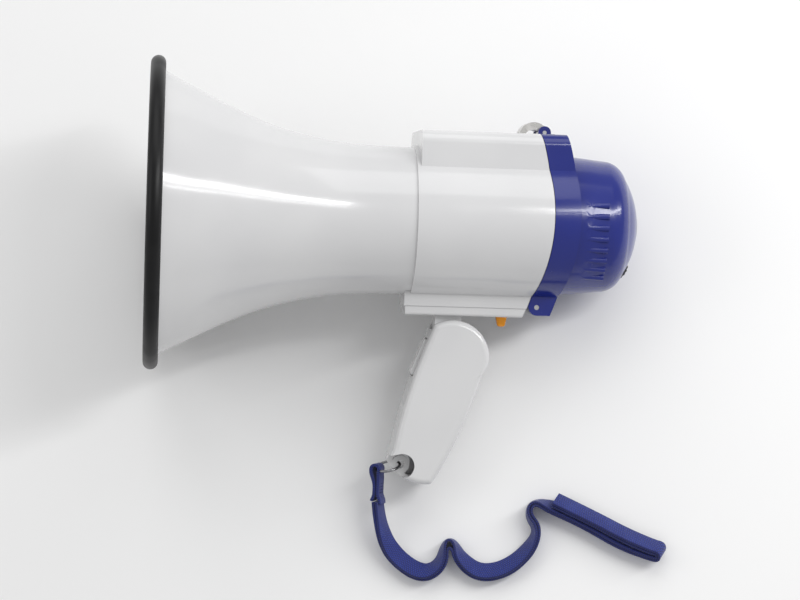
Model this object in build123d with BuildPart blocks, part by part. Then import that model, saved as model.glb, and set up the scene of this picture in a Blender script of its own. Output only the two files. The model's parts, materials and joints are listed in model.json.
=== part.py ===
"""A handheld megaphone that lies on its side, built as separate pieces.

Every piece is drawn in the megaphone's own design frame: X runs back along the horn's axis
from the middle of the rim, Z is up with the handle pointing down, and Y completes the frame.
REST then lays that frame on the table: the rim, the rear cap and the foot of the handle
touch it. All lengths are millimetres.
"""

import os
from math import acos, atan, atan2, cos, hypot, radians, sin, sqrt, tan

from build123d import *

os.makedirs("parts", exist_ok=True)

# ---------------------------------------------------------------- driving dimensions
FIT = 0.05  # gap between pieces that are assembled and stay still
RUN = 0.03  # radial clearance of a shaft in its bore
GAP = 0.3  # gap between mouldings that move past each other
WALL = 2.0

RIM_RADIUS = 78.0
RIM_WIDTH = 7.5
LIP_RADIUS = 74.5
NECK_RADIUS = 36.9
NECK_END = 128.0
SPIGOT_END = 134.0
SPIGOT_RADIUS = 35.9

BODY_RADIUS = 38.0
RIDGE_TOP = 45.0
RIDGE_HALF = 26.7
RIDGE_FRONT = 130.0
BASE_HALF = 12.0
BASE_FRONT = 125.0
SKIRT_BOTTOM = -42.2
BASE_BOTTOM = -46.8
SEAM_CENTRE = (63.4, 5.0)  # X and Z of the seam's arc, which bulges to the rear
SEAM_RADIUS = 132.0
FLANGE_DEPTH = 13.0
CAP_BOTTOM = -45.5

DOME_RADIUS = 35.8
DOME_REAR = 242.5
KNUCKLE = 4.1
HINGE_Z = -41.4
HINGE_REACH = sqrt((SEAM_RADIUS + KNUCKLE + GAP) ** 2 - (HINGE_Z - SEAM_CENTRE[1]) ** 2)
HINGE_X = SEAM_CENTRE[0] + HINGE_REACH
LATCH_PIVOT = (193.2, 46.2)

PIVOT = (150.3, -67.5)
HEAD_RADIUS = 18.5
GRIP_HALF = 13.0
FOOT = (140.2, -130.0)
LUG_HALF = 6.5
RING_HOLE = (126.5, -122.5)
TRIGGER_PIVOT = (136.4, -76.0)
KNOB_X = 175.5

STRAP_WIDTH = 10.0
STRAP_THICK = 3.0  # two layers of webbing lie together in a closed loop

# ---------------------------------------------------------------- how it lies
# The table's normal is found from three contacts: rim, rear edge of the cap, foot of the grip.
CAP_EDGE = sqrt(SEAM_RADIUS**2 - SEAM_CENTRE[1] ** 2) + SEAM_CENTRE[0] + FLANGE_DEPTH
RIM_CORE = RIM_RADIUS - RIM_WIDTH / 2
EDGE_ROUND = 1.0
pitch = atan((RIM_RADIUS - BODY_RADIUS) / CAP_EDGE)
for _ in range(6):
    shortfall = RIM_CORE * cos(pitch) + RIM_WIDTH / 2
    shortfall -= (BODY_RADIUS - EDGE_ROUND) * cos(pitch) + EDGE_ROUND
    pitch = atan(shortfall / cos(pitch) / (CAP_EDGE - EDGE_ROUND))
axis_height = RIM_CORE * cos(pitch) + RIM_WIDTH / 2
foot_side = GRIP_HALF - 3.0
foot_reach = (axis_height - sin(pitch) * FOOT[0] - 3.0) / cos(pitch)
roll = atan2(-FOOT[1], foot_side) - acos(foot_reach / hypot(foot_side, FOOT[1]))
down = Vector(sin(pitch), cos(pitch) * cos(roll), -cos(pitch) * sin(roll))
along = (Vector(1, 0, 0) - down * down.X).normalized()
MIDDLE = (110.6, -25.4)  # footprint's middle: along the horn, and towards the ridge
across_table = (down * -1).cross(along)
table_point = down * axis_height + along * MIDDLE[0] + across_table * MIDDLE[1]
REST = Plane(origin=table_point, x_dir=along, z_dir=down * -1).location.inverse()


def side(y=0.0):
    """The XZ plane at y, seen from the near side; its normal points to the near side."""
    return Plane.XZ.offset(-y)


def across(x=0.0):
    """The YZ plane at x, facing the rear."""
    return Plane.YZ.offset(x)


def level(z=0.0):
    """The XY plane at z, facing up."""
    return Plane.XY.offset(z)


def save(piece, label, place=REST):
    """Labels a finished piece, lays it on the table and writes it under its label."""
    piece.part.label = label
    piece.part.locate(place)
    export_step(piece.part, f"parts/{label}.step")


def block(x, y, z, mode=Mode.ADD):
    """A box given by its low and high ends along X, Y and Z."""
    with Locations(((x[0] + x[1]) / 2, (y[0] + y[1]) / 2, (z[0] + z[1]) / 2)):
        Box(x[1] - x[0], y[1] - y[0], z[1] - z[0], mode=mode)


def rod(plane, spots, radius, length, mode=Mode.ADD):
    """Cylinders on a plane's spots, running along its normal."""
    with BuildSketch(plane) as discs:
        with Locations(*spots):
            Circle(radius)
    extrude(discs.sketch, amount=length, mode=mode)


def tube(plane, spots, outer, inner, length, mode=Mode.ADD):
    """Rings on a plane's spots, running along its normal."""
    with BuildSketch(plane) as rings:
        with Locations(*spots):
            Circle(outer)
            Circle(inner, mode=Mode.SUBTRACT)
    extrude(rings.sketch, amount=length, mode=mode)


def screws(plane, spots, shank, length, head, head_height):
    """Pan-head screws: heads stand on the plane, shanks run against its normal."""
    rod(plane, spots, head, head_height)
    rod(plane, spots, shank, -length)


def polar(radius, start, count):
    """Evenly spaced spots on a circle, from a start angle in degrees."""
    angles = [radians(start + 360 * i / count) for i in range(count)]
    return [(radius * cos(a), radius * sin(a)) for a in angles]


def seam_x(z, gap=0.0):
    """X of the seam between housing and cap at a height, moved along its normal by gap."""
    return SEAM_CENTRE[0] + sqrt((SEAM_RADIUS + gap) ** 2 - (z - SEAM_CENTRE[1]) ** 2)


def seam_line(gap, low, high):
    """Three points of the seam's arc, from low to high."""
    middle = (low + high) / 2
    return [(seam_x(z, gap), z) for z in (low, middle, high)]


def inward(points, wall):
    """An outline of (x, r) points moved square to itself towards the axis."""
    moved = []
    for i, (x, r) in enumerate(points):
        before = points[max(i - 1, 0)]
        after = points[min(i + 1, len(points) - 1)]
        run, rise = after[0] - before[0], after[1] - before[1]
        length = hypot(run, rise)
        moved.append((x + wall * rise / length, r - wall * run / length))
    return moved


def crown(edge, tip):
    """The middle point of an arc from edge (x, r) to the tip on the horn's axis."""
    centre = (tip**2 - edge[0] ** 2 - edge[1] ** 2) / (2 * (tip - edge[0]))
    to_edge = atan2(edge[1], edge[0] - centre)
    to_tip = 0.0 if tip > centre else radians(180)
    middle = (to_edge + to_tip) / 2
    radius = abs(tip - centre)
    return (centre + radius * cos(middle), radius * sin(middle))


# ---------------------------------------------------------------- horn and its rim
BELL = [(1.0, 72.4), (6.0, 69.3), (22.0, 61.2), (35.0, 54.8), (48.5, 49.0), (62.0, 44.3)]
BELL += [(75.0, 41.0), (88.0, 38.7), (104.0, 37.3), (NECK_END, NECK_RADIUS)]
SEAT_FRONT, SEAT_REAR = 96.0, 100.0
BORE = 34.8
INNER = [p for p in inward(BELL, WALL) if p[0] < SEAT_FRONT - 4]

with BuildPart() as horn_bell:
    with BuildSketch(side()):
        with BuildLine():
            outside = Spline(*BELL, tangents=[(1, -0.65), (1, 0)])
            inside = Spline((-1.0, 70.6), *INNER[1:], (SEAT_FRONT, 35.9))
            Polyline(inside @ 0, (-1.0, LIP_RADIUS), (1.0, LIP_RADIUS), outside @ 0)
            Polyline(
                inside @ 1,
                (SEAT_FRONT, 28.5),
                (SEAT_REAR, 28.5),
                (SEAT_REAR, BORE),
                (SPIGOT_END, BORE),
                (SPIGOT_END, SPIGOT_RADIUS),
                (NECK_END, SPIGOT_RADIUS),
                outside @ 1,
            )
        make_face()
    revolve(axis=Axis.X)
    rod(across(SEAT_REAR), polar(31.5, 45, 4), 1.3, -3.4, Mode.SUBTRACT)
save(horn_bell, "horn_bell")

with BuildPart() as rim_guard:
    half = RIM_WIDTH / 2
    with BuildSketch(side()):
        with BuildLine():
            Line((-half, 71.2), (-half, RIM_CORE))
            ThreePointArc((-half, RIM_CORE), (0, RIM_RADIUS), (half, RIM_CORE))
            Line((half, RIM_CORE), (half, 73.2))
            Line((half, 73.2), (1.0 + FIT, 73.2))
            Line((1.0 + FIT, 73.2), (1.0 + FIT, LIP_RADIUS + FIT))
            Line((1.0 + FIT, LIP_RADIUS + FIT), (-1.0 - FIT, LIP_RADIUS + FIT))
            Line((-1.0 - FIT, LIP_RADIUS + FIT), (-1.0 - FIT, 71.2))
            Line((-1.0 - FIT, 71.2), (-half, 71.2))
        make_face()
    revolve(axis=Axis.X)
save(rim_guard, "rim_guard")

# ---------------------------------------------------------------- folded horn inside
CUP_FRONT, CUP_REAR = 40.0, 84.0
TUBE_FRONT, TUBE_STEP = 58.0, 72.0

with BuildPart() as tone_tube:
    with BuildSketch(side()):
        with BuildLine():
            Polyline(
                (TUBE_FRONT, 8.6),
                (TUBE_FRONT, 10.4),
                (TUBE_STEP, 10.4),
                (TUBE_STEP, 12.2),
                (97.0, 12.2),
                (97.0, 18.0),
                (SEAT_REAR, 18.0),
                (SEAT_REAR, 9.9),
                (102.0, 9.9),
                (102.0, 6.0),
                (TUBE_FRONT, 8.6),
            )
        make_face()
    revolve(axis=Axis.X)
save(tone_tube, "tone_tube")

with BuildPart() as reflector_cup:
    with BuildSketch(side()):
        with BuildLine():
            Line((CUP_REAR, 22.5), (58.0, 20.5))
            ThreePointArc((58.0, 20.5), crown((58.0, 20.5), CUP_FRONT), (CUP_FRONT, 0))
            Line((CUP_FRONT, 0), (CUP_FRONT + 1.8, 0))
            inner_tip = CUP_FRONT + 1.8
            ThreePointArc((inner_tip, 0), crown((58.0, 18.8), inner_tip), (58.0, 18.8))
            Line((58.0, 18.8), (CUP_REAR, 20.9))
            Line((CUP_REAR, 20.9), (CUP_REAR, 22.5))
        make_face()
    revolve(axis=Axis.X)
    tube(across(TUBE_FRONT + 2), [(0, 0)], 12.2, 10.4 + FIT, TUBE_STEP - TUBE_FRONT - 2)
    for angle in (90, 210, 330):
        with Locations(Rotation(angle, 0, 0) * Location((66, 15.6, 0))):
            Box(12, 8.4, 1.8)
save(reflector_cup, "reflector_cup")

with BuildPart() as throat_plate:
    tube(across(SEAT_REAR), [(0, 0)], BORE - FIT, 6.0, 3.0)
    rod(across(SEAT_REAR), [(0, 0)], 9.9 + FIT, 2.0, Mode.SUBTRACT)
    rod(across(SEAT_REAR), polar(31.5, 45, 4), 1.6, 3.0, Mode.SUBTRACT)
save(throat_plate, "throat_plate")

# ---------------------------------------------------------------- compression driver
with BuildPart() as driver_gasket:
    tube(across(103), [(0, 0)], 34.0, 24.0, 0.8)
    rod(across(103), polar(31.5, 45, 4), 1.6, 0.8, Mode.SUBTRACT)
save(driver_gasket, "driver_gasket")

with BuildPart() as driver_frame:
    tube(across(103.8), [(0, 0)], 34.0, 23.0, 3.2)
    rod(across(103.8), polar(31.5, 45, 4), 1.6, 3.2, Mode.SUBTRACT)
save(driver_frame, "driver_frame")

with BuildPart() as diaphragm:
    with BuildSketch(side()):
        with BuildLine():
            Line((103.9, 22.8), (104.4, 22.8))
            Line((104.4, 22.8), (104.4, 13.6))
            ThreePointArc((104.4, 13.6), crown((104.4, 13.6), 108.0), (108.0, 0))
            Line((108.0, 0), (107.5, 0))
            ThreePointArc((107.5, 0), crown((103.9, 13.6), 107.5), (103.9, 13.6))
            Line((103.9, 13.6), (103.9, 22.8))
        make_face()
    revolve(axis=Axis.X)
save(diaphragm, "diaphragm")

with BuildPart() as voice_coil:
    tube(across(104.9), [(0, 0)], 13.5, 12.9, 7.5)
save(voice_coil, "voice_coil")

with BuildPart() as top_plate:
    tube(across(107), [(0, 0)], 26.0, 14.0, 4.0)
save(top_plate, "top_plate")

with BuildPart() as magnet:
    tube(across(111), [(0, 0)], 27.5, 15.5, 8.0)
save(magnet, "magnet")

with BuildPart() as yoke:
    rod(across(119), [(0, 0)], 26.0, 4.0)
    rod(across(109), [(0, 0)], 12.4, 10.0)
    chamfer(yoke.edges().filter_by(GeomType.CIRCLE).sort_by(Axis.X)[-1], length=0.8)
save(yoke, "yoke")

with BuildPart() as driver_screws:
    screws(across(107), polar(31.5, 45, 4), 1.28, 10.0, 2.6, 1.8)
save(driver_screws, "driver_screws")

# ---------------------------------------------------------------- housing
SHELF_TOP = 6.2
RAIL_TOP = -13.6
BOARD_SPOTS = [(143, -24.5), (143, 24.5), (181, -24.5), (181, 24.5)]
BASE_SPOTS = [(131, -8), (131, 8), (165, -8), (165, 8)]
CATCH_X = (184.2, 187.4)
BRACKET_SPOTS = [(137.3, -6.5), (137.3, 6.5), (158.7, -6.5), (158.7, 6.5)]

with BuildPart() as housing:
    rod(across(NECK_END), [(0, 0)], BODY_RADIUS, 72)
    with BuildSketch(across(RIDGE_FRONT)):
        with Locations((0, RIDGE_TOP / 2)):
            Rectangle(2 * RIDGE_HALF, RIDGE_TOP)
        fillet(vertices().group_by(Axis.Y)[-1], radius=6.0)
    extrude(amount=70)
    block((BASE_FRONT, 200), (-BASE_HALF, BASE_HALF), (SKIRT_BOTTOM, -20))
    rod(across(120), [(0, 0)], NECK_RADIUS + FIT * 2, NECK_END - 120, Mode.SUBTRACT)
    rod(across(NECK_END), [(0, 0)], SPIGOT_RADIUS + FIT, 72, Mode.SUBTRACT)
    block((RIDGE_FRONT + 2, 200), (-24.7, 24.7), (20, RIDGE_TOP - WALL), Mode.SUBTRACT)
    block((BASE_FRONT + 2, 200), (-10, 10), (SKIRT_BOTTOM, -20), Mode.SUBTRACT)
    block((136, 186), (-36.6, 36.6), (SHELF_TOP - 2, SHELF_TOP))
    for near in (-1, 1):
        rail = sorted((22.5 * near, 34.4 * near))
        block((138, 186), rail, (RAIL_TOP - 2, RAIL_TOP))
    rod(level(RAIL_TOP), BOARD_SPOTS, 1.1, -2.0, Mode.SUBTRACT)
    rod(level(SKIRT_BOTTOM), BASE_SPOTS, 2.4, 5.0)
    rod(level(SKIRT_BOTTOM), BASE_SPOTS, 1.1, 4.6, Mode.SUBTRACT)
    block((178, 200), (-7.5, 7.5), (40, 50), Mode.SUBTRACT)
    block((176, 200), (-9.5, 9.5), (37.6, 40))
    block((176, 178), (-9.5, 9.5), (38, 44))
    for near in (-1, 1):
        wall = sorted((7.5 * near, 9.5 * near))
        block((176, 200), wall, (38, 44))
    block(CATCH_X, (-2.2, 2.2), (39, 45.4))
    with BuildSketch(side()):
        with BuildLine():
            edge = ThreePointArc(*seam_line(-GAP / 2, -60, 60))
            Polyline(edge @ 1, (100, 60), (100, -60), edge @ 0)
        make_face()
    extrude(amount=60, both=True, mode=Mode.INTERSECT)
save(housing, "housing")

SLOT_X = (KNOB_X - 6.8, KNOB_X + 1.8)

with BuildPart() as base_plate:
    block((BASE_FRONT + 0.6, 200), (-11.4, 11.4), (BASE_BOTTOM, SKIRT_BOTTOM - FIT))
    fillet(base_plate.edges().filter_by(Axis.X).group_by(Axis.Z)[0], radius=1.5)
    with BuildSketch(side()):
        with BuildLine():
            edge = ThreePointArc(*seam_line(-GAP, -60, 60))
            Polyline(edge @ 1, (100, 60), (100, -60), edge @ 0)
        make_face()
    extrude(amount=60, both=True, mode=Mode.INTERSECT)
    rod(side(), [(HINGE_X, HINGE_Z)], KNUCKLE + GAP, 20, Mode.SUBTRACT)
    rod(side(), [(HINGE_X, HINGE_Z)], KNUCKLE + GAP, -20, Mode.SUBTRACT)
    block((180.5, HINGE_X), (-6.8, 6.8), (HINGE_Z - 3.6, HINGE_Z + 3.6))
    rod(side(-6.8), [(HINGE_X, HINGE_Z)], 3.6, -13.6)
    rod(side(-6.8), [(HINGE_X, HINGE_Z)], 1.25 + RUN, -13.6, Mode.SUBTRACT)
    block((141.0, 155.0), (-6.7, 6.7), (BASE_BOTTOM, SKIRT_BOTTOM), Mode.SUBTRACT)
    block(SLOT_X, (-1.8, 1.8), (BASE_BOTTOM, SKIRT_BOTTOM), Mode.SUBTRACT)
    rod(level(BASE_BOTTOM), BASE_SPOTS, 1.3, 5.0, Mode.SUBTRACT)
    rod(level(BASE_BOTTOM), BASE_SPOTS, 2.4, 1.8, Mode.SUBTRACT)
    rod(level(-46.0), BRACKET_SPOTS, 1.1, 5.0, Mode.SUBTRACT)
save(base_plate, "base_plate")

with BuildPart() as base_screws:
    for spot in BASE_SPOTS:
        rod(level(BASE_BOTTOM + 0.2), [spot], 2.2, 1.6)
        rod(level(BASE_BOTTOM + 1.8), [spot], 1.08, 6.8)
save(base_screws, "base_screws")

# ---------------------------------------------------------------- what the housing holds
with BuildPart() as battery_box:
    block((134.8, 193.4), (-15.6, 15.6), (SHELF_TOP, SHELF_TOP + 31.2))
    CELL_SPOTS = [(y, SHELF_TOP + z) for z in (8.0, 23.2) for y in (-7.6, 7.6)]
    rod(across(136.4), CELL_SPOTS, 7.35, 60, Mode.SUBTRACT)
    with BuildSketch(side()):
        with BuildLine():
            edge = ThreePointArc(*seam_line(1.2, 0, 60))
            Polyline(edge @ 1, (260, 60), (260, 0), edge @ 0)
        make_face()
    extrude(amount=60, both=True, mode=Mode.SUBTRACT)
save(battery_box, "battery_box")

CELL_START = 139.4
for number, (y, z) in enumerate(CELL_SPOTS, start=1):
    with BuildPart() as cell:
        rod(across(CELL_START), [(y, z)], 7.2, 49.0)
        rod(across(CELL_START + 49.0), [(y, z)], 2.7, 1.4)
        chamfer(cell.edges().filter_by(GeomType.CIRCLE).group_by(Axis.X)[0], length=0.4)
    save(cell, f"battery_{number}")

with BuildPart() as battery_contacts:
    for y, z in CELL_SPOTS:
        rod(across(136.4), [(y, z)], 6.0, 0.5)
        tube(across(136.9), [(y, z)], 4.2, 3.2, CELL_START - 136.9)
save(battery_contacts, "battery_contacts")

BOARD_TOP = RAIL_TOP + 1.6

with BuildPart() as circuit_board:
    block((140, 184), (-27, 27), (RAIL_TOP, BOARD_TOP))
    rod(level(RAIL_TOP), BOARD_SPOTS, 1.4, 1.6, Mode.SUBTRACT)
save(circuit_board, "circuit_board")

with BuildPart() as board_screws:
    screws(level(BOARD_TOP), BOARD_SPOTS, 1.08, 3.4, 2.2, 1.5)
save(board_screws, "board_screws")

with BuildPart() as amplifier_chip:
    block((168.0, 172.4), (-5, 5), (BOARD_TOP, BOARD_TOP + 13.5))
save(amplifier_chip, "amplifier_chip")

with BuildPart() as heat_sink:
    block((172.4, 174.8), (-15, 15), (BOARD_TOP, BOARD_TOP + 15.5))
    for fin in range(6):
        start = -15 + fin * 5.7
        block((174.8, 182), (start, start + 1.5), (BOARD_TOP, BOARD_TOP + 15.5))
save(heat_sink, "heat_sink")

with BuildPart() as capacitors:
    rod(level(BOARD_TOP), [(150, -12)], 5.0, 14)
    rod(level(BOARD_TOP), [(150, 2), (158, 14)], 4.0, 11)
save(capacitors, "capacitors")

with BuildPart() as siren_chip:
    block((144, 154), (11, 18), (BOARD_TOP, BOARD_TOP + 3.2))
save(siren_chip, "siren_chip")

with BuildPart() as slide_switch:
    block((SLOT_X[0] - 2, SLOT_X[1] + 2), (-4.2, 4.2), (SKIRT_BOTTOM, SKIRT_BOTTOM + 5.6))
    block(SLOT_X, (-1.8, 1.8), (SKIRT_BOTTOM, SKIRT_BOTTOM + 3.8), Mode.SUBTRACT)
save(slide_switch, "slide_switch")

KNOB_TOP = BASE_BOTTOM - 0.2
KNOB_TIP = -52.1

with BuildPart() as mode_knob:
    block((KNOB_X - 1.5, KNOB_X + 1.5), (-1.5, 1.5), (KNOB_TOP - 1, SKIRT_BOTTOM + 3.4))
    with BuildSketch(level(KNOB_TOP)) as wide_end:
        with Locations((KNOB_X, 0)):
            RectangleRounded(5.6, 5.6, 1.2)
    with BuildSketch(level(KNOB_TIP)) as narrow_end:
        with Locations((KNOB_X, 0)):
            RectangleRounded(3.4, 3.4, 0.9)
    loft()
    fillet(mode_knob.faces().sort_by(Axis.Z)[0].edges(), radius=1.1)
save(mode_knob, "mode_knob")

# ---------------------------------------------------------------- handle bracket
LUG_X = (141.3, 154.5)
LUG_RADIUS = 10.0

with BuildPart() as handle_bracket:
    block((134.2, 161.8), (-9.4, 9.4), (SKIRT_BOTTOM, SKIRT_BOTTOM + 2.6))
    rod(level(-46.0), BRACKET_SPOTS, 1.4, 9.0, Mode.SUBTRACT)
    block(LUG_X, (-LUG_HALF, LUG_HALF), (PIVOT[1] + 6, SKIRT_BOTTOM))
    rod(side(-LUG_HALF), [PIVOT], LUG_RADIUS, -2 * LUG_HALF)
    rod(side(-LUG_HALF), [PIVOT], 3.0 + RUN, -2 * LUG_HALF, Mode.SUBTRACT)
save(handle_bracket, "handle_bracket")

with BuildPart() as bracket_screws:
    screws(level(SKIRT_BOTTOM + 2.6), BRACKET_SPOTS, 1.08, 6.0, 2.1, 1.4)
save(bracket_screws, "bracket_screws")

# ---------------------------------------------------------------- folding handle
def on_head(angle, radius=HEAD_RADIUS):
    """A point of the handle's round head, by its angle from the rear."""
    return (PIVOT[0] + radius * cos(radians(angle)), PIVOT[1] + radius * sin(radians(angle)))


def grip_outline(inset=0.0):
    """The handle's side view; its edges move inwards by about inset."""
    slant = 1.05 * inset  # the long edges lean, so a shift along X is a little more
    with BuildSketch(side()) as outline:
        with BuildLine():
            radius = HEAD_RADIUS - inset
            head = ThreePointArc(on_head(8, radius), on_head(65, radius), on_head(121, radius))
            front = Spline(
                head @ 1,
                (133.0 + slant, -71.8),
                (125.7 + slant, -96.6),
                (121.9 + slant, -114.6),
                tangents=[(-0.42, -1), (-0.2, -1)],
            )
            heel = (123.6 + 0.5 * inset, -126.0 + inset)
            toe = (141.6 - 0.4 * inset, -131.4 + inset)
            Polyline(front @ 1, (119.2 + 1.4 * inset, -120.6), heel)
            ThreePointArc(heel, (131.5, -130.4 + inset), toe)
            Line(toe, (144.6 - slant, -126.5))
            Spline(
                (144.6 - slant, -126.5),
                (154.7 - slant, -106.0),
                (164.2 - slant, -80.4),
                head @ 0,
            )
        make_face()
        if not inset:
            fillet(outline.vertices().sort_by(Axis.Y)[0], radius=2.5)
            fillet(outline.vertices().sort_by(Axis.X)[0], radius=2.0)
    return outline.sketch


GRIP_SCREWS = [(150.0, -94.0), (134.6, -116.5)]
CAVITY_HALF = GRIP_HALF - 2.2
TRIGGER_PIN_HALF = 10.4


def grip_half(outward):
    """One half of the hollow handle; outward is -1 for the near half, 1 for the far one."""
    with BuildPart() as shell:
        extrude(grip_outline(), amount=-GRIP_HALF * outward)
        outer = shell.faces().sort_by(Axis.Y)[-1 if outward > 0 else 0]
        fillet(outer.edges(), radius=3.0)
        extrude(grip_outline(2.2), amount=-CAVITY_HALF * outward, mode=Mode.SUBTRACT)
        rod(side(7.0 * outward), [PIVOT], 6.0, -(CAVITY_HALF + 1 - 7.0) * outward)
        rod(side(), [PIVOT], 3.0 + 0.02, -11.6 * outward, Mode.SUBTRACT)
        rod(side(), GRIP_SCREWS, 3.2, -(CAVITY_HALF + 1) * outward)
        rod(side(), [RING_HOLE], 4.6, -(CAVITY_HALF + 1) * outward)
        lug_slot()
        block((125, 142), (-5.3, 5.3), (-78.0, -58.6), Mode.SUBTRACT)
        rod(side(8.4 * outward), [TRIGGER_PIVOT], 2.4, -(CAVITY_HALF - 8.0) * outward)
        rod(side(), [TRIGGER_PIVOT], 1.0 + 0.02, -TRIGGER_PIN_HALF * outward, Mode.SUBTRACT)
        rod(side(), [RING_HOLE], 2.1, -GRIP_HALF * outward, Mode.SUBTRACT)
        extrude(ear_relief(3.6 * outward), amount=-GRIP_HALF * outward, mode=Mode.SUBTRACT)
        if outward > 0:
            rod(side(), GRIP_SCREWS, 1.4, -GRIP_HALF, Mode.SUBTRACT)
            rod(side(10.6), GRIP_SCREWS, 2.7, -GRIP_HALF, Mode.SUBTRACT)
        else:
            rod(side(), GRIP_SCREWS, 1.1, 9.0, Mode.SUBTRACT)
    return shell


def ear_relief(y):
    """What is cut away beside the ring's hole, so that the ring clears the thin ear."""
    with BuildSketch(side(y)) as relief:
        with Locations(RING_HOLE):
            Circle(6.2)
        with Locations((RING_HOLE[0] - 8, RING_HOLE[1] - 2)):
            Rectangle(16, 12.4, rotation=14)
    return relief.sketch


def lug_slot():
    """The opening in the head's rim where the bracket's lug moves as the handle folds."""
    half = LUG_HALF + 0.4
    with BuildSketch(side(-half)) as sector:
        with BuildLine():
            ThreePointArc(on_head(6, 30), on_head(65, 30), on_head(128, 30))
            Polyline(
                on_head(128, 30),
                on_head(128, 11),
                on_head(65, 11),
                on_head(6, 11),
                on_head(6, 30),
            )
        make_face()
    extrude(sector.sketch, amount=-2 * half, mode=Mode.SUBTRACT)


handle_left = grip_half(-1)
save(handle_left, "handle_left")
handle_right = grip_half(1)
save(handle_right, "handle_right")

with BuildPart() as handle_pin:
    rod(side(-11.4), [PIVOT], 3.0, -22.8)
save(handle_pin, "handle_pin")

with BuildPart() as handle_screws:
    rod(side(12.4), GRIP_SCREWS, 2.5, 1.7)
    rod(side(11.0), GRIP_SCREWS, 1.08, 19.5)
save(handle_screws, "handle_screws")

with BuildPart() as trigger:
    with BuildSketch(side(-5.0)):
        with BuildLine():
            Polyline(
                (136.4, -59.2),
                (139.2, -59.2),
                (139.4, -61.0),
                (137.2, -70.0),
                (138.3, -75.0),
                (141.6, -75.0),
                (141.6, -77.0),
                (130.0, -77.0),
                (130.0, -75.0),
                close=True,
            )
        make_face()
        fillet(vertices().group_by(Axis.X)[0], radius=0.9)
    extrude(amount=-10.0)
    rod(side(-5.0), [TRIGGER_PIVOT], 2.3, -10.0)
    rod(side(-5.0), [TRIGGER_PIVOT], 1.0 + RUN, -10.0, Mode.SUBTRACT)
save(trigger, "trigger")

with BuildPart() as trigger_pin:
    rod(side(-10.2), [TRIGGER_PIVOT], 1.0, -20.4)
save(trigger_pin, "trigger_pin")

with BuildPart() as trigger_spring:
    tube(side(5.5), [TRIGGER_PIVOT], 1.8, 1.25, -2.6)
save(trigger_spring, "trigger_spring")

with BuildPart() as trigger_switch:
    block((137.0, 146.0), (-3.2, 3.2), (-90.0, -79.4))
    block((139.0, 141.0), (-1.0, 1.0), (-79.4, -77.7))
save(trigger_switch, "trigger_switch")

# ---------------------------------------------------------------- rear cap
RIB_ANGLES = [18 - 9.6 * i for i in range(8)]  # from level, on both flanks
GRILLE_SEAT = 239.5
WHEEL_RADIUS = 8.0
WHEEL_SPOT = (231.2, -19.0)
WHEEL_SLOT = (WHEEL_SPOT[1] - WHEEL_RADIUS - GAP, WHEEL_SPOT[1] + WHEEL_RADIUS + GAP)
CAP_POSTS = polar(20.0, 90, 3)

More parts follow.
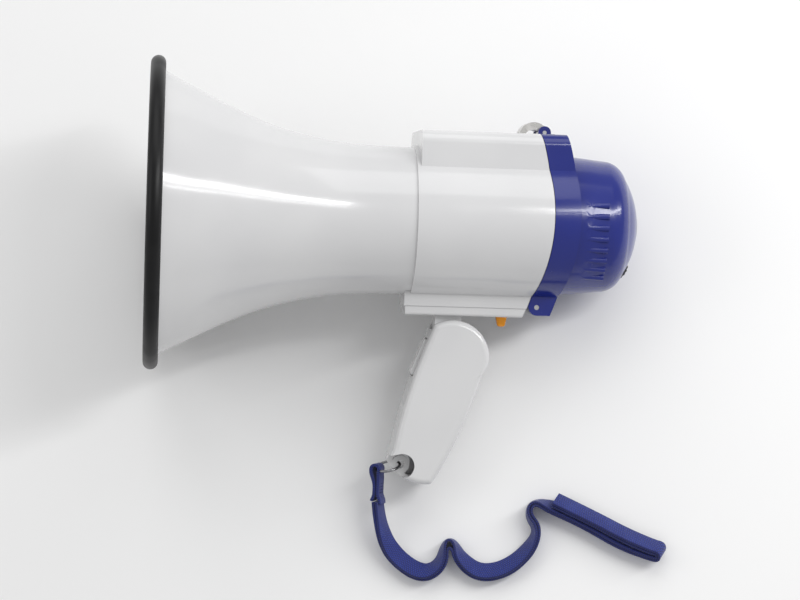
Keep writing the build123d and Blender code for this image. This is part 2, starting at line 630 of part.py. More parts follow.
with BuildPart() as cap_shell:
    rod(across(180), [(0, 0)], BODY_RADIUS, 45)
    with BuildSketch(across(180)):
        with Locations((0, RIDGE_TOP / 2)):
            Rectangle(2 * RIDGE_HALF, RIDGE_TOP)
        fillet(vertices().group_by(Axis.Y)[-1], radius=6.0)
    extrude(amount=45)
    block((180, 225), (-BASE_HALF, BASE_HALF), (CAP_BOTTOM, -20))
    with BuildSketch(side()):
        with BuildLine():
            before = ThreePointArc(*seam_line(GAP / 2, -60, 60))
            Line(before @ 1, (seam_x(60) + FLANGE_DEPTH, 60))
            low, _, high = seam_line(0, -60, 60)
            after = ThreePointArc(
                (high[0] + FLANGE_DEPTH, 60),
                (CAP_EDGE, 0),
                (low[0] + FLANGE_DEPTH, -60),
            )
            Line(after @ 1, before @ 0)
        make_face()
    extrude(amount=60, both=True, mode=Mode.INTERSECT)
    with BuildSketch(side()):
        with BuildLine():
            Polyline((198.0, 0), (198.0, DOME_RADIUS), (224.5, 33.0))
            ThreePointArc((224.5, 33.0), (231.2, 30.6), (234.8, 25.6))
            ThreePointArc((234.8, 25.6), crown((234.8, 25.6), DOME_REAR), (DOME_REAR, 0))
            Line((DOME_REAR, 0), (198.0, 0))
        make_face()
    revolve(axis=Axis.X)
    for angle in RIB_ANGLES:
        for near in (1, -1):
            turn = Rotation(near * (90 - angle), 0, 0)
            with Locations(turn * Location((216.5, 0, 33.0), (0, 86, 0))):
                Cylinder(1.5, 13.0)
    with BuildSketch(side()):
        with BuildLine():
            Polyline((150.0, 0), (150.0, 33.6), (200.0, 33.6), (223.8, 30.8))
            ThreePointArc((223.8, 30.8), (229.7, 28.7), (232.8, 24.6))
            inner_tip = DOME_REAR - 2.2
            ThreePointArc((232.8, 24.6), crown((232.8, 24.6), inner_tip), (inner_tip, 0))
            Line((inner_tip, 0), (150.0, 0))
        make_face()
    revolve(axis=Axis.X, mode=Mode.SUBTRACT)
    block((150, 202.0), (-24.7, 24.7), (20, 43.0), Mode.SUBTRACT)
    tube(across(229.5), [(0, 0)], 9.5, 6.6, 12.0)
    rod(across(GRILLE_SEAT), [(0, 0)], 8.05, 10, Mode.SUBTRACT)
    block((225, 250), (-2.3, 2.3), WHEEL_SLOT, Mode.SUBTRACT)
    rod(across(225), CAP_POSTS, 2.4, 10.0)
    rod(across(225), CAP_POSTS, 1.1, 7.0, Mode.SUBTRACT)
    rod(side(-BASE_HALF), [(HINGE_X, HINGE_Z)], KNUCKLE, -2 * BASE_HALF)
    with BuildSketch(side()) as corner:
        with Locations((HINGE_X - 10, HINGE_Z - 10)):
            Rectangle(20, 20)
        with Locations((HINGE_X, HINGE_Z)):
            Circle(KNUCKLE, mode=Mode.SUBTRACT)
    extrude(corner.sketch, amount=20, both=True, mode=Mode.SUBTRACT)
    block((HINGE_X - 20, HINGE_X + 4.0), (-7.1, 7.1), (HINGE_Z - 20, HINGE_Z + 4.0), Mode.SUBTRACT)
    rod(side(-BASE_HALF), [(HINGE_X, HINGE_Z)], 1.25 + RUN, -2 * BASE_HALF, Mode.SUBTRACT)
    block((180, 196.6), (-7.0, 7.0), (42.4, 50), Mode.SUBTRACT)
    for near in (-1, 1):
        ear = sorted((6.2 * near, 8.7 * near))
        with BuildSketch(side(ear[0])) as cheek:
            with Locations(LATCH_PIVOT):
                Circle(3.2)
            with Locations((LATCH_PIVOT[0] + 1.4, 43.4)):
                Rectangle(7.6, 4.4)
        extrude(cheek.sketch, amount=-2.5)
    rod(side(-9), [LATCH_PIVOT], 1.0 + 0.02, -18, Mode.SUBTRACT)
save(cap_shell, "cap_shell")

with BuildPart() as cap_pin:
    rod(side(-11.6), [(HINGE_X, HINGE_Z)], 1.25, -23.2)
save(cap_pin, "cap_pin")

with BuildPart() as mic_grille:
    rod(across(GRILLE_SEAT), [(0, 0)], 8.0, 2.4)
    for radius, count in ((0, 1), (2.6, 6), (5.2, 12)):
        rod(across(GRILLE_SEAT), polar(radius, 0, count), 0.75, 2.4, Mode.SUBTRACT)
save(mic_grille, "mic_grille")

with BuildPart() as mic_boot:
    tube(across(231.5), [(0, 0)], 6.6 - FIT, 4.85 + FIT, 7.2)
    tube(across(238.7), [(0, 0)], 6.6 - FIT, 3.5, GRILLE_SEAT - 238.7)
save(mic_boot, "mic_boot")

with BuildPart() as mic_capsule:
    rod(across(232.5), [(0, 0)], 4.85, 6.2)
save(mic_capsule, "mic_capsule")

with BuildPart() as cap_board:
    rod(across(223.4), [(0, 0)], 26.0, 1.6)
    rod(across(223.4), CAP_POSTS, 1.4, 1.6, Mode.SUBTRACT)
    block((223, 226), (-2.3, 2.3), WHEEL_SLOT, Mode.SUBTRACT)
save(cap_board, "cap_board")

with BuildPart() as cap_screws:
    rod(across(221.9), CAP_POSTS, 2.2, 1.5)
    rod(across(223.4), CAP_POSTS, 1.08, 7.0)
save(cap_screws, "cap_screws")

with BuildPart() as volume_control:
    block((225, 233.2), (2.6, 7.0), (WHEEL_SPOT[1] - 3.5, WHEEL_SPOT[1] + 3.5))
    rod(side(2.6), [WHEEL_SPOT], 1.5, 5.2)
save(volume_control, "volume_control")

with BuildPart() as volume_wheel:
    tube(side(-2.0), [WHEEL_SPOT], WHEEL_RADIUS, 1.5 + RUN, -4.0)
    notches = polar(WHEEL_RADIUS + 0.5, 0, 24)
    spots = [(WHEEL_SPOT[0] + x, WHEEL_SPOT[1] + z) for x, z in notches]
    rod(side(-2.0), spots, 0.8, -4.0, Mode.SUBTRACT)
save(volume_wheel, "volume_wheel")

# ---------------------------------------------------------------- latch
with BuildPart() as latch:
    with BuildSketch(side(-5.6)):
        with BuildLine():
            back = ThreePointArc((LATCH_PIVOT[0] + 1.2, 48.4), (188.6, 51.4), (180.9, 45.2))
            Polyline(back @ 1, (180.6, 42.2), (183.4, 41.2), (183.6, 43.6))
            belly = ThreePointArc((183.6, 43.6), (187.6, 47.6), (LATCH_PIVOT[0] - 1.4, 44.2))
            Line(belly @ 1, back @ 0)
        make_face()
        with Locations(LATCH_PIVOT):
            Circle(2.6)
    extrude(amount=-11.2)
    block((175, 189.0), (-2.6, 2.6), (38, 46.0), Mode.SUBTRACT)
    rod(side(-6), [LATCH_PIVOT], 1.0 + RUN, -12, Mode.SUBTRACT)
save(latch, "latch")

with BuildPart() as latch_pin:
    rod(side(-8.6), [LATCH_PIVOT], 1.0, -17.2)
save(latch_pin, "latch_pin")

# ---------------------------------------------------------------- strap ring
RING_RADIUS = 5.9
RING_WIRE = 0.7
RING_LEAN = 14.0  # degrees that the ring hangs below straight ahead
lean = radians(RING_LEAN)
RING_CENTRE = (RING_HOLE[0] - RING_RADIUS * cos(lean), RING_HOLE[1] - RING_RADIUS * sin(lean))
EYE = (RING_HOLE[0] - 2 * RING_RADIUS * cos(lean), RING_HOLE[1] - 2 * RING_RADIUS * sin(lean))

with BuildPart() as strap_ring:
    with Locations(Location((RING_CENTRE[0], 0, RING_CENTRE[1]), (0, -RING_LEAN, 0))):
        Torus(RING_RADIUS, RING_WIRE)
save(strap_ring, "strap_ring")

# ---------------------------------------------------------------- wrist strap
TAB_END = (EYE[0] + 0.9, EYE[1] - 16.2)

with BuildPart() as strap_tab:
    with BuildSketch(side(-3.5)) as tab_side:
        with Locations(EYE):
            Circle(3.4)
        with BuildLine():
            Polyline(
                (EYE[0] - 2.5, EYE[1]),
                (EYE[0] + 2.5, EYE[1]),
                (TAB_END[0] + 2.2, TAB_END[1]),
                (TAB_END[0] - 2.2, TAB_END[1]),
                close=True,
            )
        make_face()
        with Locations(EYE):
            Circle(2.1, mode=Mode.SUBTRACT)
    extrude(amount=-7.0)
save(strap_tab, "strap_tab")

# The strap lies on the table on its edge, so its route is given on the table itself.
LIFT = STRAP_WIDTH / 2 + 0.2
tab_foot = (REST * Location((TAB_END[0], 0, TAB_END[1]))).position
STRAP_ROUTE = [
    (tab_foot.X, tab_foot.Y, tab_foot.Z),
    (-4.1, -120.4, 10.4),
    (1.4, -135.2, LIFT),
    (16.4, -146.5, LIFT),
    (26.6, -141.8, LIFT),
    (28.7, -129.4, LIFT),
    (32.9, -129.2, LIFT),
    (36.5, -138.8, LIFT),
    (45.9, -146.0, LIFT),
    (59.1, -143.8, LIFT),
    (70.5, -134.8, LIFT),
    (75.9, -124.2, LIFT),
    (70.3, -116.2, LIFT),
    (73.1, -109.7, LIFT),
    (81.9, -111.6, LIFT),
]


def bend_radii(route):
    """The radius at each inner point: as large as its two runs allow."""
    radii = []
    for before, here, after in zip(route, route[1:], route[2:]):
        run_in, run_out = Vector(here) - Vector(before), Vector(after) - Vector(here)
        half_turn = radians(run_in.get_angle(run_out)) / 2
        radii.append(0.45 * min(run_in.length, run_out.length) / tan(half_turn))
    return radii


strap_radii = bend_radii(STRAP_ROUTE)
print("strap bend radii:", [round(r, 1) for r in strap_radii])

with BuildPart() as wrist_strap:
    with BuildLine() as strap_line:
        FilletPolyline(*STRAP_ROUTE, radius=strap_radii)
    start = strap_line.wire()
    with BuildSketch(Plane(start @ 0, x_dir=(1, 0, 0), z_dir=start % 0)):
        Rectangle(STRAP_THICK, STRAP_WIDTH)
    sweep(path=start)
expected = STRAP_THICK * STRAP_WIDTH * start.length
print("strap length", round(start.length, 1), "volume share", wrist_strap.part.volume / expected)
save(wrist_strap, "wrist_strap", Location())

with BuildPart() as strap_hank:
    with BuildSketch(Plane.XY.offset(0.2)):
        with BuildLine():
            lower = Spline((81.9, -114.2), (101.9, -123.2), (117.9, -131.8), (134.9, -137.6))
            upper = Spline((135.5, -129.6), (119.9, -123.6), (102.9, -113.8), (81.9, -106.0))
            Line(lower @ 1, upper @ 0)
            Line(upper @ 1, lower @ 0)
        make_face()
    extrude(amount=STRAP_WIDTH)
save(strap_hank, "strap_hank", Location())
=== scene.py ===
"""The looks of a handheld megaphone that lies on its side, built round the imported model.

Lengths of the megaphone's own pieces are millimetres in its design frame: X runs back along
the horn's axis from the rim, Z points away from the handle, and Y completes the frame. The
design frame is read from the record's mounts and joints. Places on the table are millimetres
in the row frame.
"""

import json
import logging
from dataclasses import dataclass, field
from enum import Enum
from math import cos, radians, sin
from typing import Any, Sequence

import bmesh
import bpy
import numpy as np
from mathutils import Matrix, Vector


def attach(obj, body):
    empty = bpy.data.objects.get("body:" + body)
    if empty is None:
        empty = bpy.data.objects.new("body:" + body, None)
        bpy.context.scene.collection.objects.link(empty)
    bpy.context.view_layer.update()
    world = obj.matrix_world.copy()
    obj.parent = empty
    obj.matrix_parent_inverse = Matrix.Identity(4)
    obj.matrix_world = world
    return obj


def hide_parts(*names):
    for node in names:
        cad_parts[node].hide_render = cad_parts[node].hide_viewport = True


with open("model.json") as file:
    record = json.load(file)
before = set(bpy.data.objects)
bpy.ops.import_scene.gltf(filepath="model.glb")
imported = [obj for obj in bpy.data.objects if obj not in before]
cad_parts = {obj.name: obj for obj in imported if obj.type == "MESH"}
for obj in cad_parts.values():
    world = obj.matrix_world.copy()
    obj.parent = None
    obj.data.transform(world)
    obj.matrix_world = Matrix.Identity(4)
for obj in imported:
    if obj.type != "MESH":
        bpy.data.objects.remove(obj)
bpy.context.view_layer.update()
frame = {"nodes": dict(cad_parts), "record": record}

MM = 0.001
log = logging.getLogger("megaphone")

Array = np.ndarray
Colour = tuple[float, float, float]


# ---------------------------------------------------------------- names of options
class Body(Enum):
    """The rigid bodies that pieces ride on."""

    HOUSING = "housing"
    HANDLE = "handle"
    TRIGGER = "trigger"
    KNOB = "mode_knob"
    CAP = "cap"
    LATCH = "latch"
    WHEEL = "volume_wheel"


class Slot(Enum):
    """The record's material slots that new pieces take their finish from."""

    SHELL = "shell_white"
    RIM = "rim_rubber"
    CAP = "cap_blue"
    KNOB = "knob_orange"
    BLACK = "black_plastic"
    NICKEL = "latch_nickel"
    WIRE = "ring_wire"
    WEBBING = "webbing"
    STEEL = "fastener_steel"


# ---------------------------------------------------------------- shader maths
class Wire:
    """A socket of a node tree; arithmetic on it adds Math nodes."""

    def __init__(self, graph: "Graph", socket: bpy.types.NodeSocket) -> None:
        """Wraps a socket.

        Args:
            graph: The tree that the socket belongs to.
            socket: The output socket.
        """
        self.graph = graph
        self.socket = socket

    def _math(self, operation: str, first: Any, second: Any) -> "Wire":
        """Adds one Math node and returns its result."""
        settings = {"operation": operation}
        return self.graph.node("ShaderNodeMath", settings, {0: first, 1: second})

    def __add__(self, other: Any) -> "Wire":
        """Sum."""
        return self._math("ADD", self, other)

    def __radd__(self, other: Any) -> "Wire":
        """Sum with a number first."""
        return self._math("ADD", other, self)

    def __sub__(self, other: Any) -> "Wire":
        """Difference."""
        return self._math("SUBTRACT", self, other)

    def __rsub__(self, other: Any) -> "Wire":
        """Difference with a number first."""
        return self._math("SUBTRACT", other, self)

    def __mul__(self, other: Any) -> "Wire":
        """Product."""
        return self._math("MULTIPLY", self, other)

    def __rmul__(self, other: Any) -> "Wire":
        """Product with a number first."""
        return self._math("MULTIPLY", other, self)

    def __pow__(self, other: Any) -> "Wire":
        """Power."""
        return self._math("POWER", self, other)

    def __gt__(self, other: Any) -> "Wire":
        """1 where this is greater."""
        return self._math("GREATER_THAN", self, other)

    def sine(self) -> "Wire":
        """The sine of this value."""
        return self._math("SINE", self, 0.0)

    def abs(self) -> "Wire":
        """The size of this value without its sign."""
        return self._math("ABSOLUTE", self, 0.0)

    def smooth(self, low: float, high: float) -> "Wire":
        """0 below low, 1 above high and a smooth step between."""
        settings = {"interpolation_type": "SMOOTHSTEP"}
        return self.graph.node("ShaderNodeMapRange", settings, {0: self, 1: low, 2: high})


class Graph:
    """A material's node tree with one shader and its output."""

    def __init__(self, name: str) -> None:
        """Starts an empty material.

        Args:
            name: The material's name.
        """
        self.material = bpy.data.materials.new(name)
        self.material.use_nodes = True
        self.tree = self.material.node_tree
        self.tree.nodes.clear()
        self.shader = self.tree.nodes.new("ShaderNodeBsdfPrincipled")
        output = self.tree.nodes.new("ShaderNodeOutputMaterial")
        self.tree.links.new(self.shader.outputs[0], output.inputs[0])

    def node(self, kind: str, settings: dict[str, Any], inputs: dict[Any, Any], out: Any = 0) -> Wire:
        """Adds any node.

        Args:
            kind: The node's type.
            settings: Its properties, set first; "stops" gives a ramp's positions and colours.
            inputs: Values or wires by socket name or number.
            out: The output that is returned.

        Returns:
            The chosen output.
        """
        made = self.tree.nodes.new(kind)
        for key, value in settings.items():
            if key == "stops":
                self._stops(made.color_ramp, value)
            else:
                setattr(made, key, value)
        for key, value in inputs.items():
            if isinstance(value, Wire):
                self.tree.links.new(value.socket, made.inputs[key])
            else:
                made.inputs[key].default_value = value
        return Wire(self, made.outputs[out])

    @staticmethod
    def _stops(ramp: bpy.types.ColorRamp, stops: Sequence[tuple[float, Colour]]) -> None:
        """Sets a ramp's stops."""
        while len(ramp.elements) < len(stops):
            ramp.elements.new(0.5)
        for element, (position, colour) in zip(ramp.elements, stops):
            element.position = position
            element.color = (*colour, 1.0)

    def place(self, scale: Sequence[float] = (1, 1, 1)) -> Wire:
        """Object coordinates, stretched by a scale."""
        spot = self.node("ShaderNodeTexCoord", {}, {}, "Object")
        return self.node("ShaderNodeMapping", {}, {"Vector": spot, "Scale": tuple(scale)})

    def noise(self, size: float, detail: float = 3.0, stretch: Sequence[float] = (1, 1, 1)) -> Wire:
        """Soft noise from 0 to 1 whose features are about size metres across."""
        inputs = {"Vector": self.place(stretch), "Scale": 1.0 / size, "Detail": detail}
        return self.node("ShaderNodeTexNoise", {}, inputs)

    def mix(self, factor: Any, first: Any, second: Any, blend: str = "MIX") -> Wire:
        """Mixes two colours; a plain colour is given as three numbers."""
        settings = {"data_type": "RGBA", "blend_type": blend}
        pair = [(*c, 1.0) if isinstance(c, tuple) else c for c in (first, second)]
        return self.node("ShaderNodeMix", settings, {0: factor, 6: pair[0], 7: pair[1]}, 2)

    def bump(self, height: Wire, depth: float, strength: float = 1.0, below: Wire | None = None) -> Wire:
        """A normal from a height, depth metres deep, laid over another normal if one is given."""
        inputs: dict[Any, Any] = {"Height": height, "Distance": depth, "Strength": strength}
        if below is not None:
            inputs["Normal"] = below
        return self.node("ShaderNodeBump", {}, inputs)

    def finish(self, **sockets: Any) -> bpy.types.Material:
        """Sets the shader's sockets, with _ for a space, and returns the material."""
        for key, value in sockets.items():
            target = self.shader.inputs[key.replace("_", " ")]
            if isinstance(value, Wire):
                self.tree.links.new(value.socket, target)
            elif isinstance(value, tuple) and len(value) == 3:
                target.default_value = (*value, 1.0)
            else:
                target.default_value = value
        return self.material


# ---------------------------------------------------------------- finishes
@dataclass(frozen=True)
class MouldedPlastic:
    """Injection-moulded plastic with a fine skin, flow marks and light scuffs."""

    name: str
    colour: Colour
    shade: Colour
    gloss: float = 0.2
    grain: float = 0.00035
    grain_depth: float = 0.000004
    coat: float = 0.0

    def build(self) -> bpy.types.Material:
        """Colour drifts slowly; scuffs are stretched noise that roughens the skin."""
        g = Graph(self.name)
        drift = g.noise(0.05, 2.0)
        speck = g.noise(0.0006, 2.0)
        tint = g.mix(drift.smooth(0.3, 0.7), self.shade, self.colour)
        tint = g.mix(speck.smooth(0.72, 0.80) * 0.12, tint, (0.25, 0.24, 0.22))
        scuff = g.noise(0.0035, 5.0, (1.0, 0.12, 0.9)).smooth(0.62, 0.78)
        handling = g.noise(0.022, 3.0).smooth(0.4, 0.75)
        rough = self.gloss + scuff * 0.10 + handling * 0.07
        skin = g.bump(g.noise(self.grain, 2.0), self.grain_depth, 0.5)
        flow = g.bump(g.noise(0.012, 2.0), 0.00004, 0.25, skin)
        return g.finish(
            Base_Color=tint,
            Roughness=rough,
            Normal=flow,
            IOR=1.49,
            Coat_Weight=self.coat,
            Coat_Roughness=0.08,
        )


@dataclass(frozen=True)
class Rubber:
    """Dark elastomer with a fine grain, a bloom in patches and dust in its grain."""

    name: str
    colour: Colour = (0.004, 0.004, 0.0045)
    bloom: Colour = (0.012, 0.012, 0.0125)
    rough: float = 0.34

    def build(self) -> bpy.types.Material:
        """Bloom lightens patches; the grain is fine noise."""
        g = Graph(self.name)
        patch = g.noise(0.018, 4.0).smooth(0.42, 0.72)
        grain = g.noise(0.0005, 3.0)
        colour = g.mix(patch * 0.6, self.colour, self.bloom)
        colour = g.mix(grain.smooth(0.66, 0.8) * 0.2, colour, (0.05, 0.05, 0.05))
        rough = self.rough + patch * 0.14 + grain * 0.06
        return g.finish(
            Base_Color=colour,
            Roughness=rough,
            Normal=g.bump(grain, 0.00003, 0.6),
            Specular_IOR_Level=0.25,
        )


@dataclass(frozen=True)
class PlatedMetal:
    """Plated or drawn metal with fine lines along one axis and dull finger marks."""

    name: str
    colour: Colour
    dull: Colour
    rough: float = 0.22
    lines: tuple[float, float, float] = (0.06, 1.0, 1.0)

    def build(self) -> bpy.types.Material:
        """Lines are noise stretched along one axis."""
        g = Graph(self.name)
        line = g.noise(0.0002, 3.0, self.lines)
        mark = g.noise(0.006, 4.0).smooth(0.45, 0.75)
        colour = g.mix(mark * 0.5, self.colour, self.dull)
        rough = self.rough + mark * 0.16 + line * 0.08
        return g.finish(
            Base_Color=colour,
            Roughness=rough,
            Metallic=1.0,
            Normal=g.bump(line, 0.000006, 0.5),
        )


@dataclass(frozen=True)
class Webbing:
    """Woven nylon webbing read from the piece's own UV map, in metres along and across."""

    name: str
    # lit is the blue as it looks where light falls; the darker colour below is a painted shade, the same
    # blue as it looks in shade
    lit: Colour = (0.012, 0.032, 0.27)
    painted_shade: Colour = (0.003, 0.004, 0.050)
    pitch: float = 0.0011
    width: float = 0.010

    def build(self) -> bpy.types.Material:
        """Two sets of yarns cross: ribs are sines along and across that alternate in phase."""
        g = Graph(self.name)
        spot = g.node("ShaderNodeUVMap", {"uv_map": "cloth"}, {})
        split = g.node("ShaderNodeSeparateXYZ", {}, {"Vector": spot})
        across = Wire(g, split.socket.node.outputs[1])
        turn = 2 * np.pi / self.pitch
        warp = (across * (turn * 0.5)).sine()
        weft = (split * turn + (warp > 0.0) * np.pi).sine()
        weave = weft * 0.5 + 0.5
        rib = warp.abs()
        # painted shade: the band darkens towards both edges, mixed towards the shaded blue
        edge = (across - self.width / 2).abs().smooth(self.width * 0.38, self.width * 0.5)
        fuzz = g.noise(0.0004, 4.0)
        worn = g.noise(0.012, 3.0).smooth(0.45, 0.75)
        # partly the yarns' own pattern, partly painted shade: yarn crowns take the lit blue and the
        # hollows between them the shaded blue
        mask = weave * 0.45 + rib * 0.3 + fuzz * 0.25
        colour = g.mix(mask.smooth(0.2, 0.85), self.painted_shade, self.lit)
        colour = g.mix(worn * 0.2, colour, (0.03, 0.06, 0.34))
        colour = g.mix(edge * 0.35, colour, self.painted_shade)
        height = weave * 0.6 + rib * 0.6 + fuzz * 0.3
        rough = 0.62 + fuzz * 0.2
        return g.finish(
            Base_Color=colour,
            Roughness=rough,
            Normal=g.bump(height, 0.00022, 0.8),
            Sheen_Weight=0.25,
            Sheen_Roughness=0.4,
        )


@dataclass(frozen=True)
class Compound:
    """A plain inner material: board, film, ferrite, winding, sleeve or cell jacket."""

    name: str
    colour: Colour
    second: Colour
    rough: float = 0.5
    metallic: float = 0.0
    size: float = 0.002
    stretch: tuple[float, float, float] = (1.0, 1.0, 1.0)
    depth: float = 0.00002

    def build(self) -> bpy.types.Material:
        """Two tones mixed by noise of the material's own grain size."""
        g = Graph(self.name)
        grain = g.noise(self.size, 4.0, self.stretch)
        colour = g.mix(grain.smooth(0.35, 0.68), self.colour, self.second)
        rough = self.rough + g.noise(0.01, 2.0) * 0.15
        return g.finish(
            Base_Color=colour,
            Roughness=rough,
            Metallic=self.metallic,
            Normal=g.bump(grain, self.depth, 0.5),
        )


@dataclass(frozen=True)
class TableTop:
    """A pale matt sheet with a very faint tooth."""

    name: str = "table_paper"

    def build(self) -> bpy.types.Material:
        """White with a drift of one or two percent."""
        g = Graph(self.name)
        drift = g.noise(0.3, 2.0)
        tooth = g.noise(0.0008, 3.0)
        colour = g.mix(drift, (0.84, 0.84, 0.84), (0.87, 0.87, 0.87))
        return g.finish(
            Base_Color=colour,
            Roughness=0.62 + tooth * 0.1,
            Normal=g.bump(tooth, 0.00002, 0.25),
        )


class Finishes:
    """Every material of the megaphone, by slot name."""

    def __init__(self) -> None:
        """Builds each finish once."""
        made = {
            "shell_white": MouldedPlastic(
                "white_gloss", (0.655, 0.655, 0.66), (0.62, 0.62, 0.628), 0.13, coat=0.3
            ),
            "rim_rubber": Rubber("black_rim_rubber"),
            "soft_rubber": Rubber("soft_black_rubber", rough=0.6),
            "cap_blue": MouldedPlastic(
                "royal_blue_gloss", (0.005, 0.016, 0.21), (0.004, 0.011, 0.16), 0.2, coat=0.3
            ),
            "knob_orange": MouldedPlastic(
                "orange_gloss", (0.95, 0.36, 0.006), (0.84, 0.29, 0.004), 0.25
            ),
            "black_plastic": MouldedPlastic(
                "black_moulding",
                (0.018, 0.018, 0.019),
                (0.012, 0.012, 0.013),
                0.42,
                grain=0.0006,
                grain_depth=0.00002,
            ),
            "alloy_plate": PlatedMetal("cast_alloy", (0.62, 0.62, 0.64), (0.42, 0.42, 0.44), 0.35),
            "film": Compound("amber_film", (0.50, 0.34, 0.12), (0.42, 0.27, 0.08), 0.3),
            "copper": Compound(
                "enamelled_winding",
                (0.60, 0.24, 0.09),
                (0.42, 0.15, 0.05),
                0.3,
                metallic=0.9,
                size=0.0003,
                stretch=(0.02, 1, 1),
            ),
            "steel_plate": PlatedMetal(
                "zinc_plated_steel", (0.58, 0.58, 0.55), (0.42, 0.41, 0.36), 0.3
            ),
            "ferrite": Compound(
                "sintered_ferrite", (0.045, 0.045, 0.047), (0.075, 0.072, 0.07), 0.65, size=0.0015
            ),
            "fastener_steel": PlatedMetal(
                "bright_fastener", (0.56, 0.56, 0.57), (0.36, 0.36, 0.37), 0.24
            ),
            "cell_jacket": Compound(
                "cell_sleeve", (0.06, 0.12, 0.08), (0.09, 0.17, 0.11), 0.3, metallic=0.2, size=0.004
            ),
            "board_green": Compound(
                "solder_mask", (0.012, 0.13, 0.045), (0.02, 0.19, 0.07), 0.35, size=0.0016
            ),
            "can_sleeve": Compound(
                "dark_sleeve", (0.02, 0.025, 0.06), (0.03, 0.035, 0.08), 0.35, metallic=0.1, size=0.003
            ),
            "latch_nickel": PlatedMetal(
                "nickel_plate", (0.66, 0.65, 0.63), (0.48, 0.47, 0.46), 0.2, lines=(1.0, 0.08, 1.0)
            ),
            "ring_wire": PlatedMetal(
                "dark_wire", (0.30, 0.30, 0.31), (0.16, 0.16, 0.17), 0.2, lines=(1.0, 1.0, 0.1)
            ),
            "webbing": Webbing("blue_webbing"),
        }
        self.by_slot = {slot: finish.build() for slot, finish in made.items()}

    def dress_frame(self) -> None:
        """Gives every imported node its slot's material."""
        for part in frame["record"]["subparts"]:
            node = frame["nodes"][part["node"]]
            node.data.materials.clear()
            node.data.materials.append(self.by_slot[part["material_slot"]])


# ---------------------------------------------------------------- frames and meshes
class DesignFrame:
    """The megaphone's own frame, found from the record's mounts and joints."""

    RIM_FRONT = -3.75
    RIM_FACE_HEIGHT = 72.7

    def __init__(self, record: dict[str, Any]) -> None:
        """Reads the axes.

        Args:
            record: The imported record.
        """
        rim = next(m for m in record["mounts"] if m["name"] == "rim_face")
        self.joints = {j["name"]: j for j in record["behaviour"]["joints"]}
        self.x = -np.array(rim["axis"], float)
        self.y = np.array(self.joints["trigger_press"]["axis"], float)
        self.z = np.cross(self.x, self.y)
        self.axes = np.stack([self.x, self.y, self.z])
        self.origin = np.array(rim["pos_m"], float) - np.array(
            [self.RIM_FRONT, 0.0, self.RIM_FACE_HEIGHT]
        ) * MM @ self.axes

    def row(self, points: Any) -> Array:
        """Design millimetres, of any array shape, as row metres."""
        return self.origin + np.asarray(points, float) * MM @ self.axes


DESIGN = DesignFrame(frame["record"])


def spline_through(knots: Sequence[Sequence[float]], count: int) -> Array:
    """A natural cubic through the knots.

    Each coordinate is a cubic of the chord length with a continuous second derivative,
    which a tridiagonal system gives.

    Args:
        knots: The points.
        count: How many points are wanted.

    Returns:
        The points of the curve, (count, dimensions).
    """
    p = np.asarray(knots, float)
    s = np.concatenate([[0.0], np.cumsum(np.linalg.norm(np.diff(p, axis=0), axis=1))])
    h = np.diff(s)
    n = len(p)
    matrix = np.eye(n)
    right = np.zeros_like(p)
    inner = np.arange(1, n - 1)
    matrix[inner, inner - 1] = h[:-1]
    matrix[inner, inner] = 2 * (h[:-1] + h[1:])
    matrix[inner, inner + 1] = h[1:]
    slope = np.diff(p, axis=0) / h[:, None]
    right[1:-1] = 6 * np.diff(slope, axis=0)
    second = np.linalg.solve(matrix, right)
    t = np.linspace(0, s[-1], count)
    k = np.clip(np.searchsorted(s, t, side="right") - 1, 0, n - 2)
    a, b = (s[k + 1] - t)[:, None], (t - s[k])[:, None]
    w = h[k][:, None]
    cubic = (second[k] * a**3 + second[k + 1] * b**3) / (6 * w)
    line_a = (p[k] / w - second[k] * w / 6) * a
    line_b = (p[k + 1] / w - second[k + 1] * w / 6) * b
    return cubic + line_a + line_b


def arc(centre: Sequence[float], radius: float, start: float, end: float, count: int = 9) -> Array:
    """Points of a circular arc between two angles in degrees."""
    a = np.radians(np.linspace(start, end, count))
    return np.stack([centre[0] + radius * np.cos(a), centre[1] + radius * np.sin(a)], axis=-1)


def grid_object(
    name: str, grid: Array, close_u: bool, close_v: bool, uv: Array | None = None
) -> bpy.types.Object:
    """Makes a mesh from a grid of points and merges its seams and poles.

    Args:
        name: The object's name.
        grid: Row metres, (u, v, 3).
        close_u: Whether the last row joins the first.
        close_v: Whether the last column joins the first.
        uv: Optional (u, v, 2) coordinates, stored in the map "cloth".

    Returns:
        The object, linked to the scene.
    """
    rows, columns = grid.shape[:2]
    u = np.arange(rows if close_u else rows - 1)
    v = np.arange(columns if close_v else columns - 1)
    uu, vv = np.meshgrid(u, v, indexing="ij")
    up, vp = (uu + 1) % rows, (vv + 1) % columns
    faces = np.stack([uu * columns + vv, up * columns + vv, up * columns + vp, uu * columns + vp], -1)
    mesh = bpy.data.meshes.new(name)
    mesh.from_pydata(grid.reshape(-1, 3).tolist(), [], faces.reshape(-1, 4).tolist())
    if uv is not None:
        layer = mesh.uv_layers.new(name="cloth")
        corner = np.stack([uv[uu, vv], uv[up % rows, vv], uv[up % rows, vp], uv[uu, vp]], 2)
        layer.data.foreach_set("uv", corner.reshape(-1).astype(np.float32))
    made = bpy.data.objects.new(name, mesh)
    bpy.context.scene.collection.objects.link(made)
    tidy_mesh(made, 30.0)
    return made


def tidy_mesh(piece: bpy.types.Object, sharp: float, merge: float = 1e-6, outward: bool = True) -> None:
    """Merges doubles, points faces outwards, and keeps edges sharper than an angle."""
    work = bmesh.new()
    work.from_mesh(piece.data)
    bmesh.ops.remove_doubles(work, verts=work.verts, dist=merge)
    bmesh.ops.dissolve_degenerate(work, edges=work.edges, dist=merge)
    if outward:
        bmesh.ops.recalc_face_normals(work, faces=work.faces)
    for face in work.faces:
        face.smooth = True
    limit = radians(sharp)
    for edge in work.edges:
        edge.smooth = not (edge.is_manifold and edge.calc_face_angle(0.0) > limit)
    work.to_mesh(piece.data)
    work.free()
    piece.data.update()


